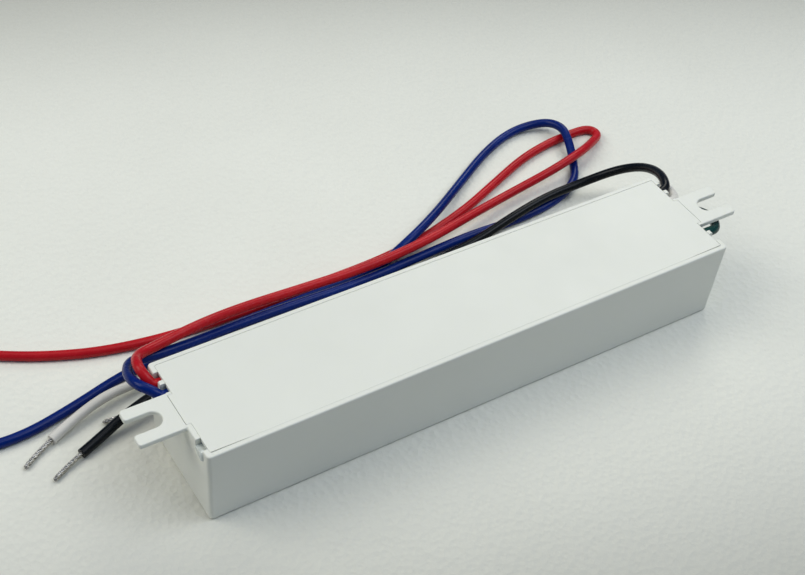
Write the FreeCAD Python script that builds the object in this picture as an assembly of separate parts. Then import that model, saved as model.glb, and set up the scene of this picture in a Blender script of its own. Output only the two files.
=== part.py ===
import FreeCAD, Part
import math
import os

# A potted LED driver: a slim moulded housing with a slotted ear at each end, shown cover side up.
# Sizes are in millimetres. X runs along the housing, Y across it and Z up from the table.
# The origin is below the middle of the housing. The supply leads leave at +X, the output leads at -X.

os.makedirs("parts", exist_ok=True)

Vector = FreeCAD.Vector
X_AXIS = Vector(1, 0, 0)
Y_AXIS = Vector(0, 1, 0)
Z_AXIS = Vector(0, 0, 1)

# Housing
housing_length = 140.8
housing_width = 30.0
housing_height = 22.0
draft_inset = 0.5
corner_radius = 1.0
label_edge_radius = 0.8
top_edge_radius = 0.4
side_wall = 2.0
floor_thickness = 2.0
rim_wall = 1.2
cavity_corner_radius = 0.8

# Mounting ears
ear_length = 10.8
ear_width = 10.8
ear_thickness = 1.1
ear_tip_radius = 0.7
ear_edge_radius = 0.3
ear_root_radius = 0.5
slot_width = 4.5
slot_depth = 7.5

# Cover
cover_thickness = 0.9
cover_clearance = 0.05
cover_pocket_radius = 0.5
cover_edge_radius = 0.12
cover_relief_depth = 0.2
cover_relief_length = 11.0
tab_width = 9.2
tab_thickness = 0.7
tab_reach = 1.0
tab_end_gap = 0.12

# Leads and the notches that they leave by
lead_diameter = 2.4
lead_cover_gap = 0.05
lead_inside = 4.0
notch_clearance = 0.1
tooth_width = 1.15
wide_notch_width = 3.4
tip_diameter = 1.2
joint_base_diameter = 2.6
joint_top_diameter = 1.4
joint_height = 2.0

# Potting
wired_notch_fill = 0.4
empty_notch_fill = 0.3
notch_setback = 0.3
drip_diameter = 1.7
drip_length = 1.2
drip_top_drop = 0.4
drip_off_middle = 1.4
drip_stand_out = 0.5

# Circuit board
board_thickness = 1.2
board_face_drop = 4.0
board_end_gap = 2.0
board_side_gap = 0.4
pin_size = 0.6
pin_hole_clearance = 0.1
pin_stand_out = 0.9

# Lengths worked out from the sizes above
half_length = housing_length / 2
half_width = housing_width / 2
rim_base = housing_height - ear_thickness
cover_seat = housing_height - cover_thickness
pocket_half_length = half_length - rim_wall
pocket_half_width = half_width - rim_wall
notch_width = lead_diameter + 2 * notch_clearance
inner_notch_y = ear_width / 2 + notch_width / 2
outer_notch_y = inner_notch_y + notch_width + tooth_width
wide_notch_y = outer_notch_y + (wide_notch_width - notch_width) / 2
lead_height = cover_seat - lead_cover_gap - lead_diameter / 2
board_face = housing_height - board_face_drop
board_under = board_face - board_thickness
ear_tip = half_length + ear_length
root_web_height = ear_thickness - ear_edge_radius
slot_end = ear_tip - slot_depth


def rounded_wire(corners, z):
    """A closed outline at height z. Each corner is (x, y, radius), in order round the outline."""
    points = [Vector(x, y, z) for x, y, radius in corners]
    starts = []
    middles = []
    ends = []
    for index, (x, y, radius) in enumerate(corners):
        corner = points[index]
        back = (points[index - 1] - corner).normalize()
        onward = (points[(index + 1) % len(points)] - corner).normalize()
        half_turn = back.getAngle(onward) / 2
        tangent = radius / math.tan(half_turn)
        inward = (back + onward).normalize()
        starts.append(corner + back * tangent)
        middles.append(corner + inward * (radius / math.sin(half_turn) - radius))
        ends.append(corner + onward * tangent)
    edges = []
    for index, (x, y, radius) in enumerate(corners):
        if radius > 0:
            edges.append(Part.Arc(starts[index], middles[index], ends[index]).toShape())
        following = starts[(index + 1) % len(corners)]
        if (following - ends[index]).Length > 1e-6:
            edges.append(Part.LineSegment(ends[index], following).toShape())
    return Part.Wire(edges)


def rectangle(half_x, half_y, radius):
    """The four corners of a rectangle about the origin."""
    return [
        (half_x, half_y, radius),
        (-half_x, half_y, radius),
        (-half_x, -half_y, radius),
        (half_x, -half_y, radius),
    ]


def plate(corners, z_low, z_high):
    """A straight-sided plate with the given outline."""
    return Part.Face(rounded_wire(corners, z_low)).extrude(Vector(0, 0, z_high - z_low))


def draft_at(z):
    """How far a drafted side stands in from the rim at height z."""
    return draft_inset * max(0.0, 1 - z / rim_base)


def drafted_block(wall, z_low, z_high, radius):
    """A block with the housing's draft, a wall's thickness inside its outer faces."""
    wires = []
    for z in (z_low, z_high):
        inset = wall + draft_at(z)
        outline = rectangle(half_length - inset, half_width - inset, radius)
        wires.append(rounded_wire(outline, z))
    return Part.makeLoft(wires, True, True)


def edges_at_height(shape, z):
    """The edges that lie wholly at height z."""
    found = []
    for edge in shape.Edges:
        box = edge.BoundBox
        if abs(box.ZMin - z) < 1e-4 and abs(box.ZMax - z) < 1e-4:
            found.append(edge)
    return found


def box_about(x, y, z_low, size_x, size_y, size_z):
    """A box centred on x and y that stands on z_low."""
    corner = Vector(x - size_x / 2, y - size_y / 2, z_low)
    return Part.makeBox(size_x, size_y, size_z, corner)


def mirrored_in_x(shape):
    """The same shape at the other end of the housing."""
    return shape.mirror(Vector(0, 0, 0), X_AXIS)


def save(shape, name):
    """Write one named piece, and print its size so that a wrong one is seen at once."""
    box = shape.BoundBox
    low = "%.1f %.1f %.1f" % (box.XMin, box.YMin, box.ZMin)
    high = "%.1f %.1f %.1f" % (box.XMax, box.YMax, box.ZMax)
    print("%s: %d solids, %.2f mm3, from %s to %s" % (name, len(shape.Solids), shape.Volume, low, high))
    if not shape.isValid() or not shape.Solids:
        raise ValueError(name + " is not a valid solid")
    shape.exportStep("parts/" + name + ".step")


# Housing: a drafted tub with a straight rim that carries the two ears
def make_ear():
    """The ear at +X, rounded over along its top edges, with its root in the rim."""
    y = ear_width / 2
    slot_y = slot_width / 2
    root = pocket_half_length
    corners = [
        (root, y, 0),
        (ear_tip, y, ear_tip_radius),
        (ear_tip, slot_y, ear_tip_radius),
        (slot_end, slot_y, slot_y),
        (slot_end, -slot_y, slot_y),
        (ear_tip, -slot_y, ear_tip_radius),
        (ear_tip, -y, ear_tip_radius),
        (root, -y, 0),
    ]
    ear = plate(corners, rim_base, housing_height)
    top_edges = [edge for edge in edges_at_height(ear, housing_height) if edge.BoundBox.XMax > half_length]
    ear = ear.makeFillet(ear_edge_radius, top_edges)
    webs = []
    for side in (1, -1):
        web = box_about(half_length, side * y, rim_base, 2 * ear_root_radius, 2 * ear_root_radius, root_web_height)
        round_x = half_length + ear_root_radius
        round_y = side * (y + ear_root_radius)
        hollow = Part.makeCylinder(ear_root_radius, root_web_height, Vector(round_x, round_y, rim_base))
        webs.append(web.cut(hollow))
    return ear.multiFuse(webs)


def tab_recess():
    """The shallow step in the rim at +X that takes the cover's tab."""
    length = tab_reach + tab_end_gap
    width = tab_width + 2 * cover_clearance
    x = pocket_half_length + length / 2
    return box_about(x, 0, housing_height - tab_thickness, length, width, tab_thickness)


def notch(y, width, x_low, x_high, top):
    """A round-bottomed notch along X, seen as a block from its lowest line up to the given height."""
    middle = Vector(x_low, y, lead_height)
    reach = x_high - x_low
    round_bottom = Part.makeCylinder(width / 2, reach, middle, X_AXIS)
    tall = Part.makeBox(reach, width, housing_height)
    tall.translate(Vector(x_low, y - width / 2, lead_height))
    whole = round_bottom.fuse(tall).removeSplitter()
    keep = Part.makeBox(reach, 2 * width, housing_height)
    keep.translate(Vector(x_low, y - width, top - housing_height))
    return whole.common(keep)


def end_notches():
    """Every notch in the end walls as (side, y, width, has a lead): +X first, then -X."""
    return [
        (1, outer_notch_y, notch_width, True),
        (1, inner_notch_y, notch_width, True),
        (1, -inner_notch_y, notch_width, True),
        (1, -outer_notch_y, notch_width, False),
        (-1, outer_notch_y, notch_width, True),
        (-1, inner_notch_y, notch_width, True),
        (-1, -wide_notch_y, wide_notch_width, False),
    ]


def at_side(shape, side):
    """The shape itself at +X, or its mirror image at -X."""
    if side > 0:
        return shape
    return mirrored_in_x(shape)


def make_housing():
    tub = drafted_block(0, 0, rim_base, corner_radius)
    tub = tub.makeFillet(label_edge_radius, edges_at_height(tub, 0))
    rim = plate(rectangle(half_length, half_width, corner_radius), rim_base, housing_height)
    rim = rim.makeFillet(top_edge_radius, edges_at_height(rim, housing_height))
    ear = make_ear()
    housing = tub.multiFuse([rim, ear, mirrored_in_x(ear)]).removeSplitter()
    cavity = drafted_block(side_wall, floor_thickness, cover_seat, cavity_corner_radius)
    pocket_outline = rectangle(pocket_half_length, pocket_half_width, cover_pocket_radius)
    pocket = plate(pocket_outline, cover_seat, housing_height)
    cutters = [cavity, pocket, tab_recess(), mirrored_in_x(tab_recess())]
    inside = half_length - side_wall - draft_inset
    outside = half_length + ear_root_radius
    for side, y, width, wired in end_notches():
        cutters.append(at_side(notch(y, width, inside, outside, housing_height), side))
    return housing.cut(cutters)


# Cover: a flat plate on the ledge, with a tab at each end and a shallow relief by both front corners
def make_cover():
    half_x = pocket_half_length - cover_clearance
    half_y = pocket_half_width - cover_clearance
    outline = rectangle(half_x, half_y, cover_pocket_radius - cover_clearance)
    cover = plate(outline, cover_seat, housing_height)
    cover = cover.makeFillet(cover_edge_radius, edges_at_height(cover, housing_height))
    tab_top = housing_height - tab_thickness
    tab_end = pocket_half_length + tab_reach
    tab = Part.makeBox(2 * tab_end, tab_width, tab_thickness, Vector(-tab_end, -tab_width / 2, tab_top))
    cover = cover.fuse(tab).removeSplitter()
    relief_corners = [
        (half_x - cover_relief_length, -half_y, 0),
        (half_x, -half_y + cover_relief_depth, 0),
        (half_x, -half_y - cover_clearance, 0),
        (half_x - cover_relief_length, -half_y - cover_clearance, 0),
    ]
    relief = plate(relief_corners, cover_seat, housing_height)
    return cover.cut([relief, mirrored_in_x(relief)])


# Leads: each route is the wire's centre line, from its soldered end to the end of its insulation.
# The routes are drawn for this housing end, exit height and table height of a wire's middle.
drawn_end = 70.4
drawn_exit = 19.85
drawn_rest = 1.2
output_x = lead_inside - drawn_end
supply_x = drawn_end - lead_inside

red_route = [
    (output_x, outer_notch_y, drawn_exit),
    (-71.0, 10.45, 19.85),
    (-71.9, 11.9, 21.4),
    (-72.5, 14.9, 22.4),
    (-70.8, 20.0, 20.0),
    (-65.2, 22.6, 18.8),
    (-55.7, 25.2, 16.2),
    (-41.2, 28.7, 12.4),
    (-22.2, 33.3, 8.7),
    (-3.2, 34.5, 6.2),
    (15.8, 35.6, 5.3),
    (33.8, 40.2, 3.6),
    (49.8, 43.8, 2.6),
    (63.4, 45.0, 4.0),
    (75.4, 47.9, 4.1),
    (83.8, 52.4, 1.9),
    (87.4, 55.0, 1.2),
    (86.2, 58.4, 1.2),
    (80.0, 58.7, 1.2),
    (70.3, 57.8, 1.2),
    (60.3, 55.4, 1.2),
    (47.8, 50.2, 1.2),
    (32.8, 44.7, 1.2),
    (9.8, 41.0, 1.2),
    (-20.2, 37.4, 1.2),
    (-46.2, 37.8, 1.2),
    (-68.2, 40.8, 1.2),
    (-84.2, 46.2, 1.2),
    (-98.2, 54.5, 1.2),
    (-111.2, 60.5, 1.2),
]

blue_route = [
    (output_x, inner_notch_y, drawn_exit),
    (-70.9, 6.7, 19.85),
    (-72.1, 7.9, 21.1),
    (-74.6, 11.1, 21.4),
    (-74.4, 16.8, 19.0),
    (-71.6, 22.0, 16.8),
    (-66.5, 21.4, 15.9),
    (-56.2, 23.3, 13.7),
    (-44.2, 26.3, 10.6),
    (-28.2, 28.8, 7.5),
    (-8.2, 31.3, 4.7),
    (11.8, 34.4, 2.5),
    (29.8, 36.6, 1.2),
    (45.8, 35.7, 1.2),
    (59.8, 36.6, 1.2),
    (68.8, 41.0, 1.2),
    (73.0, 47.4, 1.2),
    (75.9, 54.1, 3.2),
    (77.5, 59.9, 4.0),
    (75.1, 65.6, 2.5),
    (65.2, 67.4, 1.2),
    (52.8, 62.6, 1.2),
    (38.3, 53.8, 1.4),
    (24.1, 44.2, 3.75),
    (11.5, 38.3, 3.75),
    (-0.2, 35.7, 1.2),
    (-22.2, 35.0, 1.2),
    (-48.2, 34.4, 1.2),
    (-68.2, 32.6, 1.2),
    (-84.2, 28.0, 1.2),
    (-98.2, 25.2, 1.2),
    (-112.2, 27.5, 1.2),
    (-124.2, 31.0, 1.2),
]

black_route = [
    (supply_x, outer_notch_y, drawn_exit),
    (71.6, 10.45, 19.85),
    (74.3, 13.9, 19.8),
    (77.0, 19.9, 17.6),
    (77.8, 26.7, 13.8),
    (74.8, 32.6, 9.2),
    (67.3, 36.4, 4.8),
    (55.7, 36.9, 3.8),
    (42.8, 35.0, 3.9),
    (29.8, 33.5, 2.2),
    (11.8, 31.6, 1.2),
    (-12.2, 29.4, 1.8),
    (-34.4, 26.4, 3.8),
    (-48.4, 24.6, 3.8),
    (-60.4, 22.8, 3.8),
    (-68.4, 20.7, 3.8),
    (-75.2, 18.8, 3.2),
    (-81.0, 17.2, 1.5),
    (-87.1, 14.8, 1.2),
]

white_route = [
    (supply_x, inner_notch_y, drawn_exit),
    (71.4, 6.7, 19.85),
    (73.7, 9.2, 18.7),
    (75.6, 14.2, 17.0),
    (73.4, 19.8, 13.6),
    (65.8, 24.4, 7.6),
    (56.8, 28.2, 2.9),
    (44.8, 29.8, 1.2),
    (29.8, 29.4, 1.2),
    (9.8, 27.4, 1.2),
    (-12.2, 25.6, 1.2),
    (-34.2, 25.8, 1.2),
    (-54.2, 27.6, 1.2),
    (-70.2, 27.8, 2.4),
    (-81.2, 25.7, 2.7),
    (-91.4, 21.6, 1.2),
]

green_route = [
    (supply_x, -inner_notch_y, drawn_exit),
    (71.4, -6.7, 19.85),
    (75.6, -5.7, 18.4),
    (78.2, -1.0, 17.8),
    (75.8, 4.8, 16.9),
    (73.6, 11.2, 14.0),
    (72.6, 18.0, 10.4),
    (66.8, 22.8, 5.4),
    (55.8, 23.8, 1.6),
    (35.8, 22.6, 1.2),
    (11.8, 21.4, 1.2),
    (-12.2, 22.0, 1.2),
    (-34.2, 21.3, 1.2),
    (-48.2, 21.2, 1.2),
    (-59.0, 23.6, 1.2),
    (-66.4, 23.4, 1.2),
    (-72.9, 21.7, 1.2),
]

# Each lead's route and the end of its bare tinned tip
leads = {
    "red_output_lead": (red_route, (-118.2, 63.5, 0.7)),
    "blue_output_lead": (blue_route, (-131.2, 33.6, 0.7)),
    "black_supply_lead": (black_route, (-95.1, 11.0, 0.7)),
    "white_supply_lead": (white_route, (-99.4, 17.1, 0.7)),
    "green_ground_lead": (green_route, (-79.3, 21.6, 0.7)),
}


def placed(point, side):
    """A drawn point moved with the housing's end, its height in step with the notches and the wire."""
    x, y, z = point
    rest = lead_diameter / 2
    rise = (lead_height - rest) / (drawn_exit - drawn_rest)
    return Vector(x + side * (half_length - drawn_end), y, rest + (z - drawn_rest) * rise)


def placed_leads():
    """Each lead's points and the end of its tip, where this housing has them."""
    found = {}
    for name, (route, end) in leads.items():
        side = math.copysign(1, route[0][0])
        found[name] = ([placed(point, side) for point in route], placed(end, side))
    return found


def route_path(points):
    """Straight runs joined by tangent arcs, each as large as its runs allow, and the arcs' radii."""
    edges = []
    radii = []
    start = points[0]
    for index in range(1, len(points) - 1):
        corner = points[index]
        back = points[index - 1] - corner
        onward = points[index + 1] - corner
        tangent = 0.45 * min(back.Length, onward.Length)
        back.normalize()
        onward.normalize()
        half_turn = (math.pi - back.getAngle(onward)) / 2
        radius = tangent / math.tan(half_turn)
        inward = (back + onward).normalize()
        arc_start = corner + back * tangent
        arc_middle = corner + inward * (radius / math.cos(half_turn) - radius)
        arc_end = corner + onward * tangent
        edges.append(Part.LineSegment(start, arc_start).toShape())
        edges.append(Part.Arc(arc_start, arc_middle, arc_end).toShape())
        radii.append(radius)
        start = arc_end
    edges.append(Part.LineSegment(start, points[-1]).toShape())
    return Part.Wire(edges), radii


def make_lead(points):
    """A lead's insulation as one tube of its outer diameter."""
    path, radii = route_path(points)
    start = points[0]
    heading = points[1] - start
    section = Part.Wire(Part.makeCircle(lead_diameter / 2, start, heading))
    tube = path.makePipeShell([section], True, False)
    area = math.pi * (lead_diameter / 2) ** 2
    share = tube.Volume / (area * path.Length)
    print("  length %.1f, volume over section times length %.4f" % (path.Length, share))
    print("  radii", " ".join("%.1f" % radius for radius in radii))
    return tube


def make_tip(cut, end, tube):
    """The bare tinned strands, from inside the cut end of the insulation to the given point."""
    reach = end - cut
    heading = Vector(reach)
    heading.normalize()
    start = cut - heading * lead_diameter / 4
    length = reach.Length + lead_diameter / 4
    return Part.makeCylinder(tip_diameter / 2, length, start, heading).cut(tube)


def make_solder_joints(starts, tubes):
    """One cone of solder on the board, that the inner end of each lead runs into."""
    joints = []
    for start, tube in zip(starts, tubes):
        side = math.copysign(1, start.x)
        place = Vector(start.x - side * joint_top_diameter / 2, start.y, board_face)
        cone = Part.makeCone(joint_base_diameter / 2, joint_top_diameter / 2, joint_height, place)
        joints.append(cone.cut(tube))
    return Part.makeCompound(joints)


# Components: each hangs below the board and its pins come up through it
def pins(places):
    """Square pins from just below the board to a little above its solder side."""
    length = board_thickness + pin_stand_out
    return [box_about(x, y, board_under, pin_size, pin_size, length) for x, y in places]


def hung_block(x, y, size_x, size_y, height, pin_places):
    """A moulded block under the board with its pins."""
    block = box_about(x, y, board_under - height, size_x, size_y, height)
    return block.multiFuse(pins(pin_places))


def hung_can(x, y, diameter, height, pin_places):
    """An upright can under the board with its pins."""
    can = Part.makeCylinder(diameter / 2, height, Vector(x, y, board_under - height))
    return can.multiFuse(pins(pin_places))


def hung_disc(x, y, diameter, thickness, pin_places):
    """A disc on edge under the board, across the housing, with its pins."""
    middle = Vector(x - thickness / 2, y, board_under - diameter / 2)
    disc = Part.makeCylinder(diameter / 2, thickness, middle, X_AXIS)
    seat = box_about(x, y, board_under - diameter / 4, thickness, diameter / 2, diameter / 4)
    return disc.multiFuse([seat] + pins(pin_places))


def pair_across(x, y, spacing):
    """Two pins side by side across the housing."""
    return [(x, y - spacing / 2), (x, y + spacing / 2)]


def pair_along(x, y, spacing):
    """Two pins side by side along the housing."""
    return [(x - spacing / 2, y), (x + spacing / 2, y)]


def pin_rows(x, y, count, pitch, row_spacing):
    """Two rows of pins along X, on either side of y."""
    first = x - pitch * (count - 1) / 2
    places = []
    for side in (-1, 1):
        places += [(first + pitch * index, y + side * row_spacing / 2) for index in range(count)]
    return places


fuse_place = (57.0, 6.0)
thermistor_place = (57.5, -6.0)
varistor_place = (49.0, 5.5)
choke_x = 39.0
x_capacitor_place = (27.0, 4.0)
y_capacitor_place = (28.0, -7.5)
bridge_place = (19.5, -7.0)
bulk_place = (9.0, 6.5)
controller_place = (7.5, -7.0)
transformer_x = -14.0
optocoupler_place = (-27.5, 8.0)
reference_place = (-27.5, -8.0)
output_rectifier_place = (-38.0, -6.5)
output_capacitor_places = [(-34.5, 6.5), (-44.0, 6.5)]
output_choke_place = (-54.0, 0.0)

fuse_diameter = 8.4
fuse_height = 7.6
thermistor_diameter = 8.0
thermistor_thickness = 4.0
varistor_diameter = 9.0
varistor_thickness = 3.4
fuse_pitch = 5.0

choke_leg = 3.0
choke_core_length = 14.0
choke_core_width = 12.0
choke_core_height = 4.8
choke_winding_wall = 1.6
choke_winding_length = 6.6
choke_winding_clearance = 0.1

x_capacitor_size = (5.5, 13.0, 11.5)
x_capacitor_pitch = 10.0
y_capacitor_diameter = 7.5
y_capacitor_thickness = 3.6
bridge_size = (8.5, 6.4, 3.4)
controller_size = (9.2, 6.4, 3.3)
optocoupler_size = (4.6, 6.4, 3.3)
dip_pitch = 2.54
dip_rows = 5.4
controller_row_pins = 4
optocoupler_row_pins = 2
bridge_row_pins = 2
bulk_diameter = 10.0
bulk_length = 20.0
output_capacitor_diameter = 8.0
output_capacitor_height = 12.5
capacitor_pitch = 3.5
small_pitch = 2.54

transformer_width = 19.1
transformer_half_depth = 7.95
transformer_height = 4.85
transformer_leg = 4.75
transformer_side_leg = 2.35
bobbin_wall = 0.8
bobbin_clearance = 0.1
bobbin_flange_width = 13.9
bobbin_flange_height = 11.0
bobbin_flange_thickness = 0.9
bobbin_rail_depth = 3.2
bobbin_rail_height = 2.8
bobbin_pins = 4
bobbin_pin_pitch = 3.6
winding_height = 10.0
winding_width = 12.6
winding_corner_radius = 1.5

rectifier_body = (9.0, 10.0, 4.5)
rectifier_tab = (6.5, 10.0, 1.3)
rectifier_hole = 3.6
output_choke_diameter = 9.0
output_choke_height = 10.0
output_choke_flange = 1.6
output_choke_core_diameter = 5.0
output_choke_winding_diameter = 8.2
reference_diameter = 4.6
reference_flat = 1.3
reference_height = 4.6
chip_size = (3.2, 1.6, 0.6)
chip_places = [(-58.0, 0.0), (-46.0, -1.5), (-20.0, 0.0), (2.0, 0.0), (14.0, 0.0), (30.0, 0.0)]


def make_choke():
    """A common mode choke: a rectangular core lying flat with a winding round each long leg."""
    z_middle = board_under - choke_core_height / 2 - choke_winding_wall - choke_winding_clearance
    z_low = z_middle - choke_core_height / 2
    core = box_about(choke_x, 0, z_low, choke_core_length, choke_core_width, choke_core_height)
    window_x = choke_core_length - 2 * choke_leg
    window_y = choke_core_width - 2 * choke_leg
    core = core.cut(box_about(choke_x, 0, z_low, window_x, window_y, choke_core_height))
    leg_y = (choke_core_width - choke_leg) / 2
    windings = {}
    for name, side in (("front", -1), ("back", 1)):
        y = side * leg_y
        hole_y = choke_leg + 2 * choke_winding_clearance
        hole_z = choke_core_height + 2 * choke_winding_clearance
        outer_y = hole_y + 2 * choke_winding_wall
        outer_z = hole_z + 2 * choke_winding_wall
        winding = box_about(choke_x, y, z_middle - outer_z / 2, choke_winding_length, outer_y, outer_z)
        hole = box_about(choke_x, y, z_middle - hole_z / 2, choke_winding_length, hole_y, hole_z)
        places = pair_along(choke_x, y, choke_winding_length - pin_size)
        windings[name] = winding.cut(hole).multiFuse(pins(places))
    return core, windings


def make_transformer():
    """An EE transformer lying flat: two core halves, a bobbin with pin rails, and the winding."""
    z_middle = board_under - bobbin_flange_height / 2
    z_low = z_middle - transformer_height / 2
    barrel_x = transformer_leg + 2 * (bobbin_clearance + bobbin_wall)
    barrel_z = transformer_height + 2 * (bobbin_clearance + bobbin_wall)
    hole_x = transformer_leg + 2 * bobbin_clearance
    hole_z = transformer_height + 2 * bobbin_clearance
    inner_y = transformer_half_depth - transformer_side_leg - bobbin_clearance
    x = transformer_x
    window_x = (transformer_width - 2 * transformer_side_leg - transformer_leg) / 2
    window_centre = (transformer_leg + window_x) / 2
    halves = {}
    for name, side in (("front", -1), ("back", 1)):
        y = side * transformer_half_depth / 2
        half = box_about(x, y, z_low, transformer_width, transformer_half_depth, transformer_height)
        window_depth = transformer_half_depth - transformer_side_leg
        for window_side in (-1, 1):
            place = (x + window_side * window_centre, side * window_depth / 2)
            half = half.cut(box_about(*place, z_low, window_x, window_depth, transformer_height))
        halves[name] = half
    barrel = box_about(x, 0, z_middle - barrel_z / 2, barrel_x, 2 * inner_y, barrel_z)
    pieces = []
    flange_size = (bobbin_flange_width, bobbin_flange_thickness, bobbin_flange_height)
    rail_size = (bobbin_flange_width, bobbin_rail_depth, bobbin_rail_height)
    for side in (-1, 1):
        y = side * (inner_y - bobbin_flange_thickness / 2)
        pieces.append(box_about(x, y, z_middle - bobbin_flange_height / 2, *flange_size))
        rail_y = side * (inner_y + bobbin_rail_depth / 2)
        pieces.append(box_about(x, rail_y, board_under - bobbin_rail_height, *rail_size))
        first = x - bobbin_pin_pitch * (bobbin_pins - 1) / 2
        pieces += pins([(first + bobbin_pin_pitch * index, rail_y) for index in range(bobbin_pins)])
    bobbin = barrel.multiFuse(pieces)
    bobbin = bobbin.cut(box_about(x, 0, z_middle - hole_z / 2, hole_x, 2 * inner_y, hole_z))
    winding_length = 2 * (inner_y - bobbin_flange_thickness)
    section = rectangle(winding_width / 2, winding_height / 2, winding_corner_radius)
    winding = plate(section, -winding_length / 2, winding_length / 2)
    winding.rotate(Vector(0, 0, 0), X_AXIS, 90)
    winding.translate(Vector(x, 0, z_middle))
    winding = winding.cut(box_about(x, 0, z_middle - barrel_z / 2, barrel_x, winding_length, barrel_z))
    return halves, bobbin.removeSplitter(), winding


def make_bulk_capacitor():
    """The main capacitor, a can that lies along the board on a saddle of its sleeve."""
    x, y = bulk_place
    middle = Vector(x - bulk_length / 2, y, board_under - bulk_diameter / 2)
    can = Part.makeCylinder(bulk_diameter / 2, bulk_length, middle, X_AXIS)
    seal_x = x + bulk_length / 2 + pin_size / 2
    legs = []
    reach = bulk_diameter / 2 + pin_size / 2
    for place in pair_across(seal_x, y, small_pitch * 2):
        legs.append(box_about(*place, board_under - reach, pin_size, pin_size, reach))
        legs += pins([place])
    return can.multiFuse(legs)


def make_output_rectifier():
    """A power package lying flat: a moulded body, a drilled metal tab and three pins."""
    x, y = output_rectifier_place
    size_x, size_y, height = rectifier_body
    tab_x, tab_y, tab_height = rectifier_tab
    body = box_about(x, y, board_under - height, size_x, size_y, height)
    tab_low = Vector(x - (size_x + tab_x) / 2, y, board_under - tab_height)
    tab = box_about(*tab_low, tab_x, tab_y, tab_height)
    hole = Part.makeCylinder(rectifier_hole / 2, tab_height, tab_low)
    body = body.fuse(tab.cut(hole))
    legs = []
    leg_x = x + size_x / 2 + pin_size / 2
    for index in (-1, 0, 1):
        place = (leg_x, y + index * small_pitch)
        legs.append(box_about(*place, board_under - height / 2, pin_size, pin_size, height / 2))
        legs += pins([place])
    return body.multiFuse(legs)


def make_output_choke():
    """A drum core with its winding between the flanges."""
    x, y = output_choke_place
    z_low = board_under - output_choke_height
    inner = output_choke_height - 2 * output_choke_flange
    profile = [
        (0, 0),
        (output_choke_diameter / 2, 0),
        (output_choke_diameter / 2, output_choke_flange),
        (output_choke_core_diameter / 2, output_choke_flange),
        (output_choke_core_diameter / 2, output_choke_flange + inner),
        (output_choke_diameter / 2, output_choke_flange + inner),
        (output_choke_diameter / 2, output_choke_height),
        (0, output_choke_height),
        (0, 0),
    ]
    wire = Part.makePolygon([Vector(x + radius, y, z_low + z) for radius, z in profile])
    core = Part.Face(wire).revolve(Vector(x, y, z_low), Z_AXIS, 360)
    core = core.multiFuse(pins(pair_across(x, y, small_pitch * 2)))
    base = Vector(x, y, z_low + output_choke_flange)
    winding = Part.makeCylinder(output_choke_winding_diameter / 2, inner, base)
    winding = winding.cut(Part.makeCylinder(output_choke_core_diameter / 2, inner, base))
    return core, winding


def make_reference():
    """A small three-pin package with one flat side."""
    x, y = reference_place
    z_low = board_under - reference_height
    body = Part.makeCylinder(reference_diameter / 2, reference_height, Vector(x, y, z_low))
    flat_y = y - reference_flat - reference_diameter / 2
    flat = box_about(x, flat_y, z_low, reference_diameter, reference_diameter, reference_height)
    legs = pins([(x + index * small_pitch / 2, y) for index in (-1, 0, 1)])
    return body.cut(flat).multiFuse(legs)


def make_chips():
    """Chip resistors on the board's solder side."""
    return Part.makeCompound([box_about(*place, board_face, *chip_size) for place in chip_places])


def make_two_leaded():
    """The discs, cans and blocks that stand on two pins."""
    found = {}
    fuse_pins = pair_across(*fuse_place, fuse_pitch)
    found["input_fuse"] = hung_can(*fuse_place, fuse_diameter, fuse_height, fuse_pins)
    discs = {
        "inrush_thermistor": (thermistor_place, thermistor_diameter, thermistor_thickness),
        "surge_varistor": (varistor_place, varistor_diameter, varistor_thickness),
        "safety_capacitor": (y_capacitor_place, y_capacitor_diameter, y_capacitor_thickness),
    }
    for name, (place, diameter, thickness) in discs.items():
        found[name] = hung_disc(*place, diameter, thickness, pair_across(*place, small_pitch))
    line_pins = pair_across(*x_capacitor_place, x_capacitor_pitch)
    found["line_capacitor"] = hung_block(*x_capacitor_place, *x_capacitor_size, line_pins)
    can_size = (output_capacitor_diameter, output_capacitor_height)
    for index, place in enumerate(output_capacitor_places):
        can_pins = pair_across(*place, capacitor_pitch)
        found["output_capacitor_%d" % (index + 1)] = hung_can(*place, *can_size, can_pins)
    return found


def make_dual_in_line():
    """The moulded packages with two rows of pins."""
    packages = {
        "bridge_rectifier": (bridge_place, bridge_size, bridge_row_pins, 2 * dip_pitch),
        "switching_controller": (controller_place, controller_size, controller_row_pins, dip_pitch),
        "optocoupler": (optocoupler_place, optocoupler_size, optocoupler_row_pins, dip_pitch),
    }
    found = {}
    for name, (place, size, count, pitch) in packages.items():
        found[name] = hung_block(*place, *size, pin_rows(*place, count, pitch, dip_rows))
    return found


def make_components():
    """Every component by name."""
    found = make_two_leaded()
    found.update(make_dual_in_line())
    core, windings = make_choke()
    found["filter_choke_core"] = core
    found["filter_choke_winding_front"] = windings["front"]
    found["filter_choke_winding_back"] = windings["back"]
    found["bulk_capacitor"] = make_bulk_capacitor()
    halves, bobbin, winding = make_transformer()
    found["transformer_core_front"] = halves["front"]
    found["transformer_core_back"] = halves["back"]
    found["transformer_bobbin"] = bobbin
    found["transformer_winding"] = winding
    found["voltage_reference"] = make_reference()
    found["output_rectifier"] = make_output_rectifier()
    choke_core, choke_winding = make_output_choke()
    found["output_choke_core"] = choke_core
    found["output_choke_winding"] = choke_winding
    return {name: shape.removeSplitter() for name, shape in found.items()}


def pin_places_of(shape):
    """Where a component's pins stand out of the board's solder side."""
    places = []
    for face in shape.Faces:
        box = face.BoundBox
        if abs(box.ZMin - board_face - pin_stand_out) < 1e-6:
            places.append((box.Center.x, box.Center.y))
    return places


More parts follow.
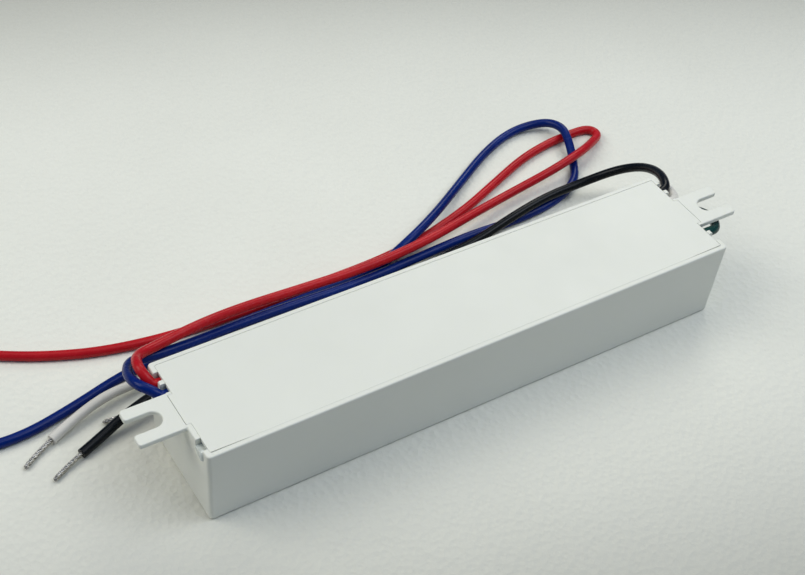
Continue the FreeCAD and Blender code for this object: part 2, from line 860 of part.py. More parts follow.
def make_board(components):
    """The board, with a square hole for each pin."""
    inset = side_wall + draft_at(board_under)
    size_x = 2 * (half_length - inset - board_end_gap)
    size_y = 2 * (half_width - inset - board_side_gap)
    board = box_about(0, 0, board_under, size_x, size_y, board_thickness)
    hole = pin_size + 2 * pin_hole_clearance
    holes = []
    for shape in components.values():
        for x, y in pin_places_of(shape):
            holes.append(box_about(x, y, board_under, hole, hole, board_thickness))
    return board.cut(holes)


# Potting: it fills the tub to the cover's ledge and the notches round the leads
def make_drip():
    """The run of compound that set on the end wall below the empty notch at -X."""
    radius = drip_diameter / 2
    x = -half_length + radius - drip_stand_out
    y = -wide_notch_y - drip_off_middle
    top = cover_seat - drip_top_drop
    low = top - drip_length
    run = Part.makeCylinder(radius, drip_length, Vector(x, y, low))
    ends = [Part.makeSphere(radius, Vector(x, y, z)) for z in (low, top)]
    rounded = run.fuse(ends)
    outside = Part.makeBox(radius + drip_stand_out, 2 * drip_diameter, 2 * housing_height)
    outside.translate(Vector(-half_length - radius, y - drip_diameter, 0))
    return rounded.removeSplitter().common(outside)


def make_potting(housing, cover, others):
    """One solid of compound round everything in the tub."""
    fill = [drafted_block(side_wall, floor_thickness, cover_seat, cavity_corner_radius)]
    inside = half_length - side_wall - draft_inset
    for side, y, width, wired in end_notches():
        top = lead_height + wired_notch_fill
        outside = half_length - notch_setback
        if not wired:
            top = lead_height + empty_notch_fill
        if not wired and side < 0:
            outside = half_length
        fill.append(at_side(notch(y, width, inside, outside, top), side))
    fill.append(make_drip())
    whole = fill[0].multiFuse(fill[1:])
    left = whole.cut([housing, cover] + others)
    return max(left.Solids, key=lambda solid: solid.Volume)


housing = make_housing()
cover = make_cover()
components = make_components()
board = make_board(components)
chips = make_chips()

save(housing, "housing")
save(cover, "base_cover")
save(board, "circuit_board")
for name, shape in components.items():
    save(shape, name)
save(chips, "chip_resistors")

tubes = []
starts = []
for name, (points, end) in placed_leads().items():
    tube = make_lead(points)
    tubes.append(tube)
    starts.append(points[0])
    save(tube, name)
    save(make_tip(points[-1], end, tube), name + "_tip")

joints = make_solder_joints(starts, tubes)
save(joints, "lead_solder_joints")
potting = make_potting(housing, cover, [board, chips, joints] + list(components.values()) + tubes)
save(potting, "potting_compound")
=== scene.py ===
import math

import bmesh
import bpy
from mathutils import Matrix, Vector


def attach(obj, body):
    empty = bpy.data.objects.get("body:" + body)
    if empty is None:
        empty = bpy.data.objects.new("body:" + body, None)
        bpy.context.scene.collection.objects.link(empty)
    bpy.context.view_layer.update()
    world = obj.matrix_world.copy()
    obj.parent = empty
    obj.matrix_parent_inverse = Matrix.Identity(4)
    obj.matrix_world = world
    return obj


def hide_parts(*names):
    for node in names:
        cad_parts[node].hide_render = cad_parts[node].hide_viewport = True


# The looks of a white potted LED driver that lies on a pale table with its five leads.
# Everything is in metres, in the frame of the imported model.

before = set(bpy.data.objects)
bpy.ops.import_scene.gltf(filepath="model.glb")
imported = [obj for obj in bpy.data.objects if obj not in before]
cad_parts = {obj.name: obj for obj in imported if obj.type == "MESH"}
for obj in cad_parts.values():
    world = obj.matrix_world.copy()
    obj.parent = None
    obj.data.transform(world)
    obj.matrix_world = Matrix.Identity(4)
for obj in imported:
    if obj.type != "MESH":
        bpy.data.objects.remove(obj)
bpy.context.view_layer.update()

# Camera
CAMERA_PLACE = Vector((-0.1506, -0.1895, 0.2597))
CAMERA_AZIMUTH = math.radians(-35.544)
CAMERA_ELEVATION = math.radians(44.169)
CAMERA_ROLL = math.radians(5.790)
CAMERA_LENS = 65.67
CAMERA_CLIP_START = 0.01
CAMERA_CLIP_END = 20

# Sizes of the leads, and where they leave the driver
LEAD_DIAMETER = 0.0024
RESTING = LEAD_DIAMETER / 2
EXIT_HEIGHT = 0.01985
OUTER_NOTCH_Y = 0.01045
INNER_NOTCH_Y = 0.0067
SOLDERED_X = 0.0664
STEPS_BETWEEN_POINTS = 12
ROUNDNESS = 6

# Tinned strands: each ends in a smaller ring, and up to three steps short of the longest
STRAND_COUNT = 7
STRAND_RADIUS = 0.00021
STRAND_END_RADIUS = STRAND_RADIUS * 0.55
STRAND_SIDES = 8
STRAND_STEP = 0.00025
STRAND_ENDS = 4
BUNDLE_RADIUS = 0.00038
TWIST_PITCH = 0.0066
TIP_INSIDE = 0.0004
TIP_RESTING = 0.0007

# Table
FLOOR_SIZE = 4.0
FLOOR_CELLS = 8

# The pool of light painted into the table's colour: its middle, its reach both ways and how it is
# turned
LIGHT_POOL_MIDDLE = (-0.015, 0.055)
LIGHT_POOL_REACH = (0.440, 0.145)
LIGHT_POOL_TURN = math.radians(-20)

# What shows beyond the edge of the table, as 0 to 255 for each channel
BACKDROP = (172, 174, 170)

# The even light from all round
SKY_STRENGTH = 0.20
SKY_COLOR = (0.42, 0.60, 1.0)

# Each lamp: name, place, width, power and colour
LAMPS = [
    ("left_lamp", (-0.90, 0.50, 1.00), 0.9, 9.6, (1.0, 0.97, 0.90)),
    ("front_lamp", (0.30, -0.30, 1.00), 0.6, 3.5, (0.90, 0.94, 1.0)),
    ("right_lamp", (0.90, -0.30, 1.00), 0.6, 4.0, (0.90, 0.94, 1.0)),
    ("back_lamp", (0.90, 0.90, 1.00), 0.6, 4.8, (1.0, 0.99, 0.88)),
    ("ceiling_lamp", (-0.10, 0.30, 1.00), 0.6, 1.5, (1.0, 0.97, 0.88)),
]

# Each insulation: its deep and its bright tone, and its lowest and highest roughness
INSULATIONS = {
    "red_insulation": ((166, 18, 28), (184, 27, 35), 0.20, 0.32),
    "blue_insulation": ((1, 25, 90), (3, 35, 108), 0.20, 0.32),
    "black_insulation": ((6, 10, 14), (12, 17, 23), 0.20, 0.32),
    "white_insulation": ((205, 202, 193), (214, 211, 202), 0.24, 0.36),
    "green_insulation": ((8, 50, 46), (14, 60, 55), 0.22, 0.34),
}

# Each dull body: its dark and its light tone, its grain and how deep that is, and its lowest
# and highest roughness
DULL_BODIES = {
    "black_package": ((26, 26, 27), (44, 44, 44), 0.0002, 0.00002, 0.5, 0.7),
    "ferrite": ((44, 44, 46), (72, 72, 75), 0.0004, 0.00005, 0.6, 0.85),
    "bobbin_plastic": ((58, 52, 46), (84, 78, 70), 0.0005, 0.00002, 0.4, 0.6),
    "capacitor_sleeve": ((24, 30, 52), (40, 48, 74), 0.001, 0.00002, 0.2, 0.35),
    "film_capacitor_case": ((196, 160, 40), (216, 182, 60), 0.0004, 0.00002, 0.35, 0.5),
    "blue_coating": ((28, 66, 138), (44, 88, 166), 0.0012, 0.00008, 0.18, 0.3),
    "dark_coating": ((44, 56, 42), (64, 78, 60), 0.0012, 0.00008, 0.18, 0.3),
}

# The CAD nodes that keep their shape, by finish
DRESSED_NODES = {
    "white_moulding": ["housing", "base_cover"],
    "potting_resin": ["potting_compound"],
    "solder": ["lead_solder_joints"],
    "board_laminate": ["circuit_board"],
    "black_package": [
        "chip_resistors",
        "bridge_rectifier",
        "switching_controller",
        "optocoupler",
        "voltage_reference",
        "output_rectifier",
    ],
    "ferrite": [
        "filter_choke_core",
        "transformer_core_front",
        "transformer_core_back",
        "output_choke_core",
    ],
    "copper_winding": [
        "filter_choke_winding_front",
        "filter_choke_winding_back",
        "transformer_winding",
        "output_choke_winding",
    ],
    "bobbin_plastic": ["transformer_bobbin", "input_fuse"],
    "capacitor_sleeve": ["bulk_capacitor", "output_capacitor_1", "output_capacitor_2"],
    "film_capacitor_case": ["line_capacitor"],
    "blue_coating": ["surge_varistor", "safety_capacitor"],
    "dark_coating": ["inrush_thermistor"],
}

# Lead routes: the points of each wire's centre line in the CAD source. Some were moved by up to
# 3 mm, and a few added, so that the wire lies as in the photograph.
RED_ROUTE = [
    (-SOLDERED_X, OUTER_NOTCH_Y, EXIT_HEIGHT),
    (-0.0687, OUTER_NOTCH_Y, EXIT_HEIGHT),
    (-0.0710, OUTER_NOTCH_Y, EXIT_HEIGHT),
    (-0.0719, 0.0119, 0.0214),
    (-0.0725, 0.0149, 0.0224),
    (-0.0708, 0.0200, 0.0200),
    (-0.0652, 0.0222, 0.0182),
    (-0.0541, 0.0250, 0.0168),
    (-0.0412, 0.0288, 0.0131),
    (-0.0222, 0.0319, 0.0085),
    (-0.0032, 0.0330, 0.0063),
    (0.0158, 0.0353, 0.0053),
    (0.0338, 0.0402, 0.0036),
    (0.0498, 0.0438, 0.0026),
    (0.0634, 0.0450, 0.0040),
    (0.0754, 0.0479, 0.0041),
    (0.0838, 0.0524, 0.0019),
    (0.0874, 0.0550, RESTING),
    (0.0862, 0.0584, RESTING),
    (0.0800, 0.0587, RESTING),
    (0.0703, 0.0578, RESTING),
    (0.0603, 0.0554, RESTING),
    (0.0478, 0.0502, RESTING),
    (0.0328, 0.0440, RESTING),
    (0.0098, 0.0382, RESTING),
    (-0.0202, 0.0379, RESTING),
    (-0.0462, 0.0376, RESTING),
    (-0.0682, 0.0403, RESTING),
    (-0.0842, 0.0462, RESTING),
    (-0.0982, 0.0545, RESTING),
    (-0.1112, 0.0605, RESTING),
]

BLUE_ROUTE = [
    (-SOLDERED_X, INNER_NOTCH_Y, EXIT_HEIGHT),
    (-0.0688, INNER_NOTCH_Y, EXIT_HEIGHT),
    (-0.0709, INNER_NOTCH_Y, EXIT_HEIGHT),
    (-0.0721, 0.0079, 0.0211),
    (-0.0746, 0.0111, 0.0214),
    (-0.0744, 0.0168, 0.0190),
    (-0.0716, 0.0220, 0.0168),
    (-0.0665, 0.0216, 0.0160),
    (-0.0562, 0.0233, 0.0137),
    (-0.0442, 0.0263, 0.0106),
    (-0.0282, 0.0288, 0.0075),
    (-0.0082, 0.0307, 0.0044),
    (0.0118, 0.0336, 0.0023),
    (0.0298, 0.0357, RESTING),
    (0.0458, 0.0349, RESTING),
    (0.0598, 0.0366, RESTING),
    (0.0688, 0.0410, RESTING),
    (0.0730, 0.0474, RESTING),
    (0.0759, 0.0541, 0.0032),
    (0.0775, 0.0599, 0.0040),
    (0.0751, 0.0656, 0.0025),
    (0.0652, 0.0674, RESTING),
    (0.0528, 0.0626, RESTING),
    (0.0383, 0.0538, 0.0014),
    (0.0241, 0.0442, 0.00375),
    (0.0115, 0.0379, 0.0042),
    (-0.0002, 0.0350, RESTING),
    (-0.0222, 0.0350, RESTING),
    (-0.0482, 0.0344, RESTING),
    (-0.0682, 0.0326, RESTING),
    (-0.0842, 0.0280, RESTING),
    (-0.0982, 0.0252, RESTING),
    (-0.1122, 0.0275, RESTING),
    (-0.1242, 0.0310, RESTING),
]

BLACK_ROUTE = [
    (SOLDERED_X, OUTER_NOTCH_Y, EXIT_HEIGHT),
    (0.0716, OUTER_NOTCH_Y, EXIT_HEIGHT),
    (0.0743, 0.0139, 0.0198),
    (0.0770, 0.0199, 0.0176),
    (0.0778, 0.0267, 0.0138),
    (0.0748, 0.0326, 0.0092),
    (0.0673, 0.0364, 0.0048),
    (0.0557, 0.0369, 0.0038),
    (0.0428, 0.0344, 0.0038),
    (0.0298, 0.0321, 0.0022),
    (0.0118, 0.0304, RESTING),
    (-0.0122, 0.0290, 0.0020),
    (-0.0344, 0.0264, 0.0038),
    (-0.0484, 0.0246, 0.0038),
    (-0.0604, 0.0228, 0.0038),
    (-0.0684, 0.0207, 0.0038),
    (-0.0752, 0.0188, 0.0032),
    (-0.0810, 0.0172, 0.0015),
    (-0.0871, 0.0148, RESTING),
]

WHITE_ROUTE = [
    (SOLDERED_X, INNER_NOTCH_Y, EXIT_HEIGHT),
    (0.0680, INNER_NOTCH_Y, EXIT_HEIGHT),
    (0.0714, INNER_NOTCH_Y, EXIT_HEIGHT),
    (0.0737, 0.0092, 0.0187),
    (0.0756, 0.0142, 0.0170),
    (0.0734, 0.0198, 0.0136),
    (0.0658, 0.0244, 0.0076),
    (0.0568, 0.0282, 0.0029),
    (0.0448, 0.0298, RESTING),
    (0.0298, 0.0294, RESTING),
    (0.0098, 0.0274, RESTING),
    (-0.0122, 0.0256, RESTING),
    (-0.0342, 0.0258, RESTING),
    (-0.0542, 0.0276, RESTING),
    (-0.0702, 0.0278, 0.0024),
    (-0.0812, 0.0257, 0.0027),
    (-0.0914, 0.0216, RESTING),
]

GREEN_ROUTE = [
    (SOLDERED_X, -INNER_NOTCH_Y, EXIT_HEIGHT),
    (0.0714, -INNER_NOTCH_Y, EXIT_HEIGHT),
    (0.0756, -0.0057, 0.0184),
    (0.0782, -0.0010, 0.0178),
    (0.0758, 0.0048, 0.0169),
    (0.0736, 0.0112, 0.0140),
    (0.0726, 0.0180, 0.0104),
    (0.0668, 0.0228, 0.0054),
    (0.0558, 0.0238, 0.0016),
    (0.0358, 0.0226, RESTING),
    (0.0118, 0.0214, RESTING),
    (-0.0122, 0.0220, RESTING),
    (-0.0342, 0.0213, RESTING),
    (-0.0482, 0.0212, RESTING),
    (-0.0590, 0.0236, RESTING),
    (-0.0664, 0.0230, RESTING),
    (-0.0718, 0.0212, RESTING),
]

# Each lead: node, route, end of its bare tip, length and material slot
LEADS = [
    ("red_output_lead", RED_ROUTE, (-0.1182, 0.0635, TIP_RESTING), 0.387, "red_insulation"),
    ("blue_output_lead", BLUE_ROUTE, (-0.1312, 0.0336, TIP_RESTING), 0.402, "blue_insulation"),
    ("black_supply_lead", BLACK_ROUTE, (-0.0951, 0.0110, TIP_RESTING), 0.198, "black_insulation"),
    ("white_supply_lead", WHITE_ROUTE, (-0.0994, 0.0171, TIP_RESTING), 0.192, "white_insulation"),
    ("green_ground_lead", GREEN_ROUTE, (-0.0793, 0.0216, TIP_RESTING), 0.185, "green_insulation"),
]


def srgb(red, green, blue):
    """A colour written as 0 to 255 for each channel, as the shaders want it."""
    found = []
    for value in (red, green, blue):
        share = value / 255
        if share <= 0.04045:
            found.append(share / 12.92)
        else:
            found.append(((share + 0.055) / 1.055) ** 2.4)
    return (*found, 1.0)


def add_object(name, data):
    """A new object in the scene."""
    made = bpy.data.objects.new(name, data)
    bpy.context.scene.collection.objects.link(made)
    return made


def as_mesh(name, mesh):
    """The finished mesh of a shape under construction."""
    data = bpy.data.meshes.new(name)
    mesh.to_mesh(data)
    mesh.free()
    return data


# Materials
def color_socket(sockets, name):
    """The socket of that name that carries a colour."""
    return [socket for socket in sockets if socket.name == name and socket.type == "RGBA"][0]


class Surface:
    """A material under construction, with its Principled shader and short calls for its nodes.

    Object coordinates are metres in the frame, so a scale is one over a size.
    """

    def __init__(self, name):
        self.material = bpy.data.materials.new(name)
        self.material.use_nodes = True
        self.tree = self.material.node_tree
        self.shader = self.tree.nodes["Principled BSDF"]
        self.place = self.tree.nodes.new("ShaderNodeTexCoord").outputs["Object"]
        self.normal = None

    def node(self, kind, **settings):
        """A new node of that kind with its settings."""
        made = self.tree.nodes.new(kind)
        for name, value in settings.items():
            setattr(made, name, value)
        return made

    def join(self, source, target):
        """Feed one socket into another."""
        self.tree.links.new(source, target)

    def set(self, name, value):
        """Give one of the shader's sockets a fixed value."""
        self.shader.inputs[name].default_value = value

    def drive(self, name, source):
        """Feed one of the shader's sockets."""
        self.join(source, self.shader.inputs[name])

    def stretched(self, scale):
        """The place, multiplied by a scale for each axis."""
        mapping = self.node("ShaderNodeMapping")
        mapping.inputs["Scale"].default_value = scale
        self.join(self.place, mapping.inputs["Vector"])
        return mapping.outputs["Vector"]

    def noise(self, size, detail=3.0, roughness=0.5, place=None):
        """Cloudy noise whose features are about that size."""
        made = self.node("ShaderNodeTexNoise")
        made.inputs["Scale"].default_value = 1 / size
        made.inputs["Detail"].default_value = detail
        made.inputs["Roughness"].default_value = roughness
        self.join(place or self.place, made.inputs["Vector"])
        return made.outputs["Fac"]

    def clouds(self, size, detail=3.0, roughness=0.5):
        """The same noise, stretched to run from 0 to 1."""
        return self.spread(self.noise(size, detail, roughness), low=0.0, high=1.0)

    def cells(self, size):
        """Uneven cells of about that size, each with a tone of its own."""
        made = self.node("ShaderNodeTexVoronoi")
        made.inputs["Scale"].default_value = 1 / size
        self.join(self.place, made.inputs["Vector"])
        return made

    def waves(self, size, direction, distortion):
        """Even bands across an axis."""
        made = self.node("ShaderNodeTexWave", bands_direction=direction)
        made.inputs["Scale"].default_value = 1 / size
        made.inputs["Distortion"].default_value = distortion
        self.join(self.place, made.inputs["Vector"])
        return made.outputs["Fac"]

    def specks(self, spacing, radius, rarity, strength):
        """Round specks in a few of the cells, their radius as a share of the spacing."""
        cells = self.cells(spacing)
        near = self.maths("LESS_THAN", cells.outputs["Distance"], radius)
        few = self.maths("GREATER_THAN", cells.outputs["Color"], rarity)
        return self.maths("MULTIPLY", self.maths("MULTIPLY", near, few), strength)

    def spread(self, source, low, high, from_low=0.3, from_high=0.7):
        """The source's range stretched to run from low to high."""
        made = self.node("ShaderNodeMapRange")
        made.inputs["From Min"].default_value = from_low
        made.inputs["From Max"].default_value = from_high
        made.inputs["To Min"].default_value = low
        made.inputs["To Max"].default_value = high
        self.join(source, made.inputs["Value"])
        return made.outputs["Result"]

    def maths(self, operation, first, second):
        """A socket worked out from one socket and from a second one or a number."""
        made = self.node("ShaderNodeMath", operation=operation)
        self.join(first, made.inputs[0])
        if isinstance(second, float):
            made.inputs[1].default_value = second
        else:
            self.join(second, made.inputs[1])
        return made.outputs["Value"]

    def mixed(self, factor, first, second):
        """Two colours, or a socket and a colour, mixed by a socket."""
        made = self.node("ShaderNodeMix", data_type="RGBA")
        self.join(factor, made.inputs["Factor"])
        for value, name in ((first, "A"), (second, "B")):
            target = color_socket(made.inputs, name)
            if isinstance(value, tuple):
                target.default_value = value
            else:
                self.join(value, target)
        return color_socket(made.outputs, "Result")

    def bump(self, height, depth, strength):
        """Relief of the given depth, on top of what is there."""
        made = self.node("ShaderNodeBump")
        made.inputs["Distance"].default_value = depth
        made.inputs["Strength"].default_value = strength
        self.join(height, made.inputs["Height"])
        if self.normal:
            self.join(self.normal, made.inputs["Normal"])
        self.normal = made.outputs["Normal"]
        self.drive("Normal", self.normal)

    def soft_edges(self, radius):
        """Edges that catch light as if rounded by this radius."""
        made = self.node("ShaderNodeBevel", samples=6)
        made.inputs["Radius"].default_value = radius
        self.normal = made.outputs["Normal"]
        self.drive("Normal", self.normal)


def white_moulding():
    """Satin white plastic with fine tool grain, faint handling marks and a few specks of dust."""
    made = Surface("white_moulding")
    made.soft_edges(radius=0.0001)
    body = made.mixed(made.clouds(size=0.03, detail=4.0), srgb(220, 221, 210), srgb(224, 225, 214))
    dust = made.specks(spacing=0.009, radius=0.022, rarity=0.72, strength=0.55)
    made.drive("Base Color", made.mixed(dust, body, srgb(150, 150, 140)))
    marks = made.noise(size=0.006, detail=5.0, roughness=0.6)
    made.drive("Roughness", made.spread(marks, low=0.40, high=0.52))
    made.set("Specular IOR Level", 0.42)
    made.set("Subsurface Weight", 0.6)
    made.set("Subsurface Radius", (0.0008, 0.0008, 0.0007))
    made.bump(made.noise(size=0.0035, detail=2.0), depth=0.00003, strength=0.35)
    made.bump(made.noise(size=0.00022, roughness=0.6), depth=0.000012, strength=0.5)
    return made.material


def potting_resin():
    """Set resin, milky white, with a wet shine and a wavy skin."""
    made = Surface("potting_resin")
    milk = made.clouds(size=0.0016)
    made.drive("Base Color", made.mixed(milk, srgb(196, 203, 196), srgb(218, 223, 216)))
    made.drive("Roughness", made.spread(made.noise(size=0.0012), low=0.10, high=0.24))
    made.set("Subsurface Weight", 0.30)
    made.set("Subsurface Radius", (0.0012, 0.0012, 0.0011))
    made.set("Coat Weight", 0.4)
    made.set("Coat Roughness", 0.08)
    made.bump(made.noise(size=0.0018, detail=2.0), depth=0.00012, strength=0.6)
    return made.material


def insulation(name, deep, bright, rough_low, rough_high):
    """Extruded vinyl with faint scuffs, slow changes of tone and a slightly uneven skin."""
    made = Surface(name)
    tone = made.clouds(size=0.012, detail=4.0, roughness=0.6)
    made.drive("Base Color", made.mixed(tone, srgb(*deep), srgb(*bright)))
    lengthwise = made.stretched((0.35, 1.0, 1.0))
    scuffs = made.noise(size=0.0009, detail=5.0, roughness=0.7, place=lengthwise)
    made.drive("Roughness", made.spread(scuffs, rough_low, rough_high))
    made.set("Specular IOR Level", 0.16)
    made.bump(made.noise(size=0.0030, detail=2.0), depth=0.00005, strength=0.4)
    made.bump(made.noise(size=0.00035), depth=0.000012, strength=0.5)
    return made.material


def tinned_strands():
    """Tinned copper: silver with dull patches and pitted solder."""
    made = Surface("tinned_strands")
    tone = made.clouds(size=0.0008, detail=5.0, roughness=0.65)
    made.drive("Base Color", made.mixed(tone, srgb(112, 109, 101), srgb(220, 218, 212)))
    made.set("Metallic", 1.0)
    made.drive("Roughness", made.spread(made.noise(size=0.0006, detail=4.0), low=0.10, high=0.26))
    made.bump(made.noise(size=0.0005, detail=4.0), depth=0.00004, strength=0.6)
    return made.material


def solder():
    """Bright solder with a frosted patch here and there."""
    made = Surface("solder")
    tone = made.clouds(size=0.0010)
    made.drive("Base Color", made.mixed(tone, srgb(176, 176, 172), srgb(214, 214, 210)))
    made.set("Metallic", 1.0)
    made.drive("Roughness", made.spread(made.noise(size=0.0007), low=0.16, high=0.40))
    made.bump(made.noise(size=0.0009), depth=0.00006, strength=0.5)
    return made.material


def board_laminate():
    """Green glass laminate with the weave showing through the lacquer."""
    made = Surface("board_laminate")
    thread = 0.0022
    across = made.waves(thread, "X", distortion=0.4)
    along = made.waves(thread, "Y", distortion=0.4)
    weave = made.maths("MULTIPLY", across, along)
    made.drive("Base Color", made.mixed(weave, srgb(36, 92, 48), srgb(58, 124, 66)))
    made.drive("Roughness", made.spread(made.noise(size=0.002), low=0.30, high=0.45))
    made.bump(weave, depth=0.00003, strength=0.6)
    return made.material


def copper_winding():
    """Lacquered copper wire laid turn beside turn."""
    made = Surface("copper_winding")
    turns = made.waves(0.0016, "X", distortion=0.2)
    # The colour darkens in the same bands where the bump sinks between the turns: painted shade in
    # the grooves.
    made.drive("Base Color", made.mixed(turns, srgb(120, 62, 30), srgb(206, 128, 74)))
    made.set("Metallic", 0.9)
    made.drive("Roughness", made.spread(made.noise(size=0.002), low=0.25, high=0.40))
    made.bump(turns, depth=0.00015, strength=0.8)
    return made.material


def dull_body(name, dark, light, grain, depth, rough_low, rough_high):
    """A pressed or moulded body with a grain of its own size."""
    made = Surface(name)
    tone = made.clouds(size=grain * 6)
    made.drive("Base Color", made.mixed(tone, srgb(*dark), srgb(*light)))
    made.drive("Roughness", made.spread(made.noise(size=grain * 3), rough_low, rough_high))
    made.bump(made.noise(size=grain, detail=4.0, roughness=0.6), depth, strength=0.6)
    return made.material


def away_from_light_pool(made):
    """0 in the middle of the pool of light painted on the table, and 1 from its edge outwards."""
    patch = made.node("ShaderNodeMapping", vector_type="TEXTURE")
    patch.inputs["Location"].default_value = (*LIGHT_POOL_MIDDLE, 0.0)
    patch.inputs["Rotation"].default_value = (0.0, 0.0, LIGHT_POOL_TURN)
    patch.inputs["Scale"].default_value = (*LIGHT_POOL_REACH, 1.0)
    made.join(made.place, patch.inputs["Vector"])
    away = made.node("ShaderNodeVectorMath", operation="DOT_PRODUCT")
    made.join(patch.outputs["Vector"], away.inputs[0])
    made.join(patch.outputs["Vector"], away.inputs[1])
    fading = made.spread(away.outputs["Value"], low=0.0, high=1.0, from_low=0.0, from_high=1.0)
    fading.node.interpolation_type = "SMOOTHSTEP"
    return fading


def floor_cloth():
    """A pale non-woven cloth with a faint mesh of dots, and a painted pool of light round the object
    that fades into painted shade further out.
    """
    made = Surface("floor_cloth")
    pale = made.mixed(made.clouds(size=0.05), srgb(223, 223, 211), srgb(227, 227, 215))
    # Painted light: the cloth's colour darkens to this grey outside the pool of light round the
    # object.
    made.drive("Base Color", made.mixed(away_from_light_pool(made), pale, srgb(172, 172, 162)))
    made.set("Roughness", 0.85)
    made.set("Specular IOR Level", 0.2)
    dots = made.cells(size=0.0016).outputs["Distance"]
    made.bump(made.noise(size=0.045, detail=2.0), depth=0.0020, strength=0.4)
    made.bump(dots, depth=0.00030, strength=0.8)
    made.bump(made.noise(size=0.0007), depth=0.00012, strength=0.7)
    return made.material


def make_materials():
    """Every finish of the object by the name of its slot in the record."""
    made = {
        "white_moulding": white_moulding(),
        "potting_resin": potting_resin(),
        "tinned_strands": tinned_strands(),
        "solder": solder(),
        "board_laminate": board_laminate(),
        "copper_winding": copper_winding(),
    }
    for name, looks in INSULATIONS.items():
        made[name] = insulation(name, *looks)
    for name, looks in DULL_BODIES.items():
        made[name] = dull_body(name, *looks)
    return made


def dress_frame(materials):
    """Give each CAD node that stays its finish."""
    for slot, nodes in DRESSED_NODES.items():
        for node in nodes:
            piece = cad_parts[node]
            piece.data.materials.clear()
            piece.data.materials.append(materials[slot])


# Leads and their bare tips
def centre_line(wire):
    """The points of a curve that has no bevel yet."""
    bpy.context.view_layer.update()
    graph = bpy.context.evaluated_depsgraph_get()
    mesh = bpy.data.meshes.new_from_object(wire.evaluated_get(graph))
    points = [vertex.co.copy() for vertex in mesh.vertices]
    bpy.data.meshes.remove(mesh)
    return points


def make_lead(name, route, material):
    """One wire as a smooth round curve through its route, and its centre line."""
    curve = bpy.data.curves.new(name + "_wire", "CURVE")
    curve.dimensions = "3D"
    curve.resolution_u = STEPS_BETWEEN_POINTS
    spline = curve.splines.new("NURBS")
    spline.points.add(len(route) - 1)
    for point, place in zip(spline.points, route):
        point.co = (*place, 1.0)
    spline.order_u = 3
    spline.use_endpoint_u = True
    spline.use_smooth = True
    wire = add_object(name + "_wire", curve)
    line = centre_line(wire)
    curve.bevel_depth = LEAD_DIAMETER / 2
    curve.bevel_resolution = ROUNDNESS
    curve.use_fill_caps = True
    curve.materials.append(material)
    return wire, line


def tip_axis(line, end):
    """A gentle curve from just inside the cut insulation to the end of the strands."""
    cut = line[-1]
    heading = (line[-1] - line[-2]).normalized()
    end = Vector(end)
    start = cut - heading * TIP_INSIDE
    middle = cut + heading * (end - cut).length / 2
    count = round((end - start).length / STRAND_STEP)
    found = []
    for index in range(count + 1):
        share = index / count
        found.append(start * (1 - share) ** 2 + middle * 2 * share * (1 - share) + end * share ** 2)
    return found


def frames_along(points):
    """Each point of a path with two directions square to the path, turning as little as they can."""
    found = []
    side = (points[1] - points[0]).normalized().orthogonal()
    for index, point in enumerate(points):
        ahead = points[min(index + 1, len(points) - 1)]
        behind = points[max(index - 1, 0)]
        tangent = (ahead - behind).normalized()
        side = (side - tangent * side.dot(tangent)).normalized()
        found.append((point, side, tangent.cross(side)))
    return found


def beside(point, side, up, angle, distance):
    """The place at that angle round a point of a path, and at that distance from it."""
    return point + (side * math.cos(angle) + up * math.sin(angle)) * distance


def add_strand(mesh, path):
    """A thin round wire along a path, with closed ends."""
    rings = []
    for index, (point, side, up) in enumerate(frames_along(path)):
        if index == len(path) - 1:
            radius = STRAND_END_RADIUS
        else:
            radius = STRAND_RADIUS
        ring = []
        for step in range(STRAND_SIDES):
            angle = 2 * math.pi * step / STRAND_SIDES
            ring.append(mesh.verts.new(beside(point, side, up, angle, radius)))
        rings.append(ring)
    for first, second in zip(rings, rings[1:]):
        for step in range(STRAND_SIDES):
            following = (step + 1) % STRAND_SIDES
            mesh.faces.new((first[step], first[following], second[following], second[step]))
    mesh.faces.new(list(reversed(rings[0])))
    mesh.faces.new(rings[-1])


def make_tip(name, line, end, material):
    """The bare end of a lead: tinned strands twisted round a straight one."""
    axis = tip_axis(line, end)
    mesh = bmesh.new()
    add_strand(mesh, axis)
    around = frames_along(axis)
    twisted = STRAND_COUNT - 1
    for strand in range(twisted):
        phase = 2 * math.pi * strand / twisted
        shortened = strand % STRAND_ENDS
        path = []
        for index, (point, side, up) in enumerate(around[: len(around) - shortened]):
            turn = phase + 2 * math.pi * index * STRAND_STEP / TWIST_PITCH
            path.append(beside(point, side, up, turn, BUNDLE_RADIUS))
        add_strand(mesh, path)
    data = as_mesh(name, mesh)
    for face in data.polygons:
        face.use_smooth = True
    data.materials.append(material)
    return add_object(name, data)


def add_leads(materials):
    """Every lead with its bare tip, in place of their plain solids."""
    for node, route, end, length, slot in LEADS:
        wire, line = make_lead(node, route, materials[slot])
        tip = make_tip(node + "_strands", line, end, materials["tinned_strands"])
        for piece, stands_for, finish in ((wire, node, slot), (tip, node + "_tip", "tinned_strands")):
            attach(piece, "root")
            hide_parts(stands_for)


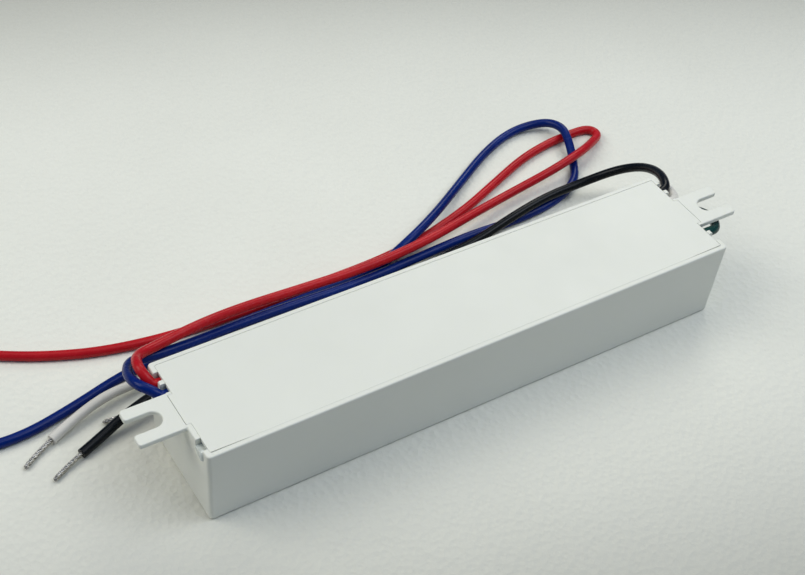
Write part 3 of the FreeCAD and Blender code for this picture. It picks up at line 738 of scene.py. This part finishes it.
# Camera, table and light
def add_camera():
    """The camera at the photograph's viewing angle."""
    level = math.cos(CAMERA_ELEVATION)
    back = Vector((
        math.sin(CAMERA_AZIMUTH) * level,
        -math.cos(CAMERA_AZIMUTH) * level,
        math.sin(CAMERA_ELEVATION),
    ))
    right = Vector((0, 0, 1)).cross(back).normalized()
    up = back.cross(right)
    rolled_right = right * math.cos(CAMERA_ROLL) + up * math.sin(CAMERA_ROLL)
    rolled_up = up * math.cos(CAMERA_ROLL) - right * math.sin(CAMERA_ROLL)
    turn = Matrix((rolled_right, rolled_up, back)).transposed()
    data = bpy.data.cameras.new("camera")
    data.lens = CAMERA_LENS
    data.clip_start = CAMERA_CLIP_START
    data.clip_end = CAMERA_CLIP_END
    camera = add_object("camera", data)
    camera.matrix_world = Matrix.Translation(CAMERA_PLACE) @ turn.to_4x4()
    bpy.context.scene.camera = camera


def add_floor():
    """The table, in place of everything round the object."""
    mesh = bmesh.new()
    bmesh.ops.create_grid(mesh, x_segments=FLOOR_CELLS, y_segments=FLOOR_CELLS, size=FLOOR_SIZE / 2)
    data = as_mesh("floor", mesh)
    data.materials.append(floor_cloth())
    floor = add_object("floor", data)


def add_lamp(name, place, width, power, color):
    """A soft square lamp that points at the table under the middle of the object."""
    data = bpy.data.lights.new(name, "AREA")
    data.shape = "SQUARE"
    data.size = width
    data.energy = power
    data.color = color
    lamp = add_object(name, data)
    lamp.location = place
    lamp.rotation_mode = "QUATERNION"
    lamp.rotation_quaternion = (-Vector(place)).to_track_quat("-Z", "Y")


def add_world():
    """An even soft light from all round, behind a pale backdrop."""
    world = bpy.data.worlds.new("world")
    world.use_nodes = True
    tree = world.node_tree
    light = tree.nodes["Background"]
    light.inputs["Color"].default_value = (*SKY_COLOR, 1.0)
    light.inputs["Strength"].default_value = SKY_STRENGTH
    backdrop = tree.nodes.new("ShaderNodeBackground")
    backdrop.inputs["Color"].default_value = srgb(*BACKDROP)
    seen = tree.nodes.new("ShaderNodeLightPath").outputs["Is Camera Ray"]
    either = tree.nodes.new("ShaderNodeMixShader")
    tree.links.new(seen, either.inputs["Fac"])
    tree.links.new(light.outputs["Background"], either.inputs[1])
    tree.links.new(backdrop.outputs["Background"], either.inputs[2])
    tree.links.new(either.outputs["Shader"], tree.nodes["World Output"].inputs["Surface"])
    bpy.context.scene.world = world


add_camera()
materials = make_materials()
add_leads(materials)
dress_frame(materials)
add_floor()
for lamp in LAMPS:
    add_lamp(*lamp)
add_world()
bpy.context.scene.view_settings.view_transform = "Standard"
